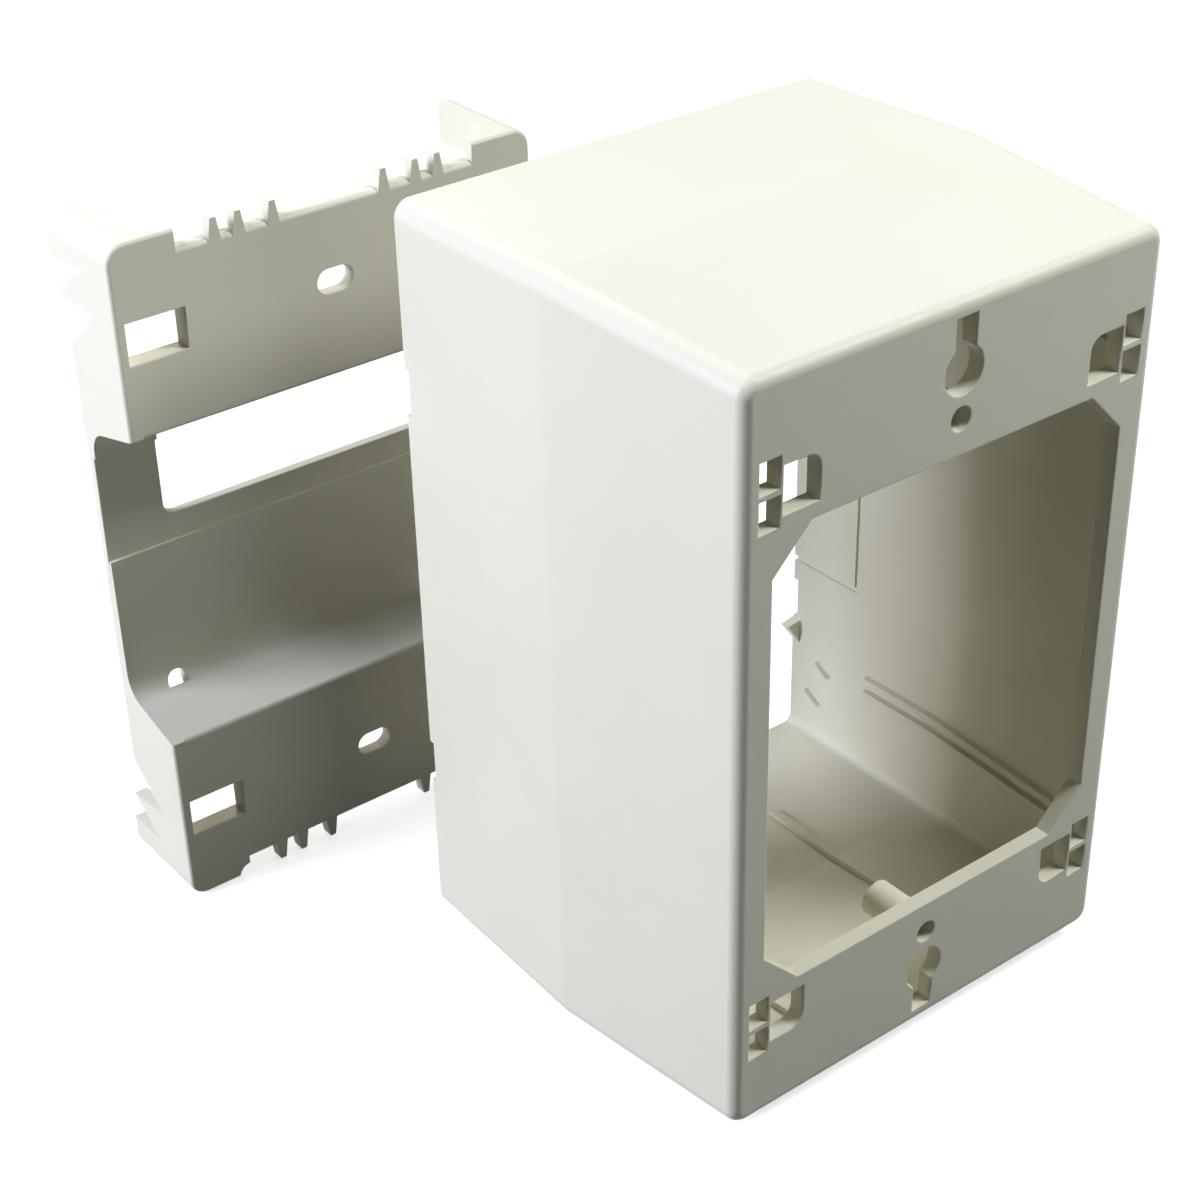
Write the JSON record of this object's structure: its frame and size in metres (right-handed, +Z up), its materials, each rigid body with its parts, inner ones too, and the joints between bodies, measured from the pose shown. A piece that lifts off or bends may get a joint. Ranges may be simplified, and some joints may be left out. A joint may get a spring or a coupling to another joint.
{
  "type": "switch box",
  "caption": "Deep ivory surface switch box, open at the back, with a pierced front plate for a wiring device and a snap-in base plate with toothed edges standing behind it.",
  "frame": {"origin": "on the floor, in the middle of the footprint that the box and the base plate share", "axes": "+Z up, -Y out of the front plate, +X to the right as seen from the front"},
  "size_m": [0.1074, 0.1148, 0.1213],
  "materials": {
    "ivory_plastic": "satin moulded plastic"
  },
  "bodies": {
    "root": {"box_shell": "ivory_plastic", "base_plate": "ivory_plastic"}
  },
  "joints": []
}
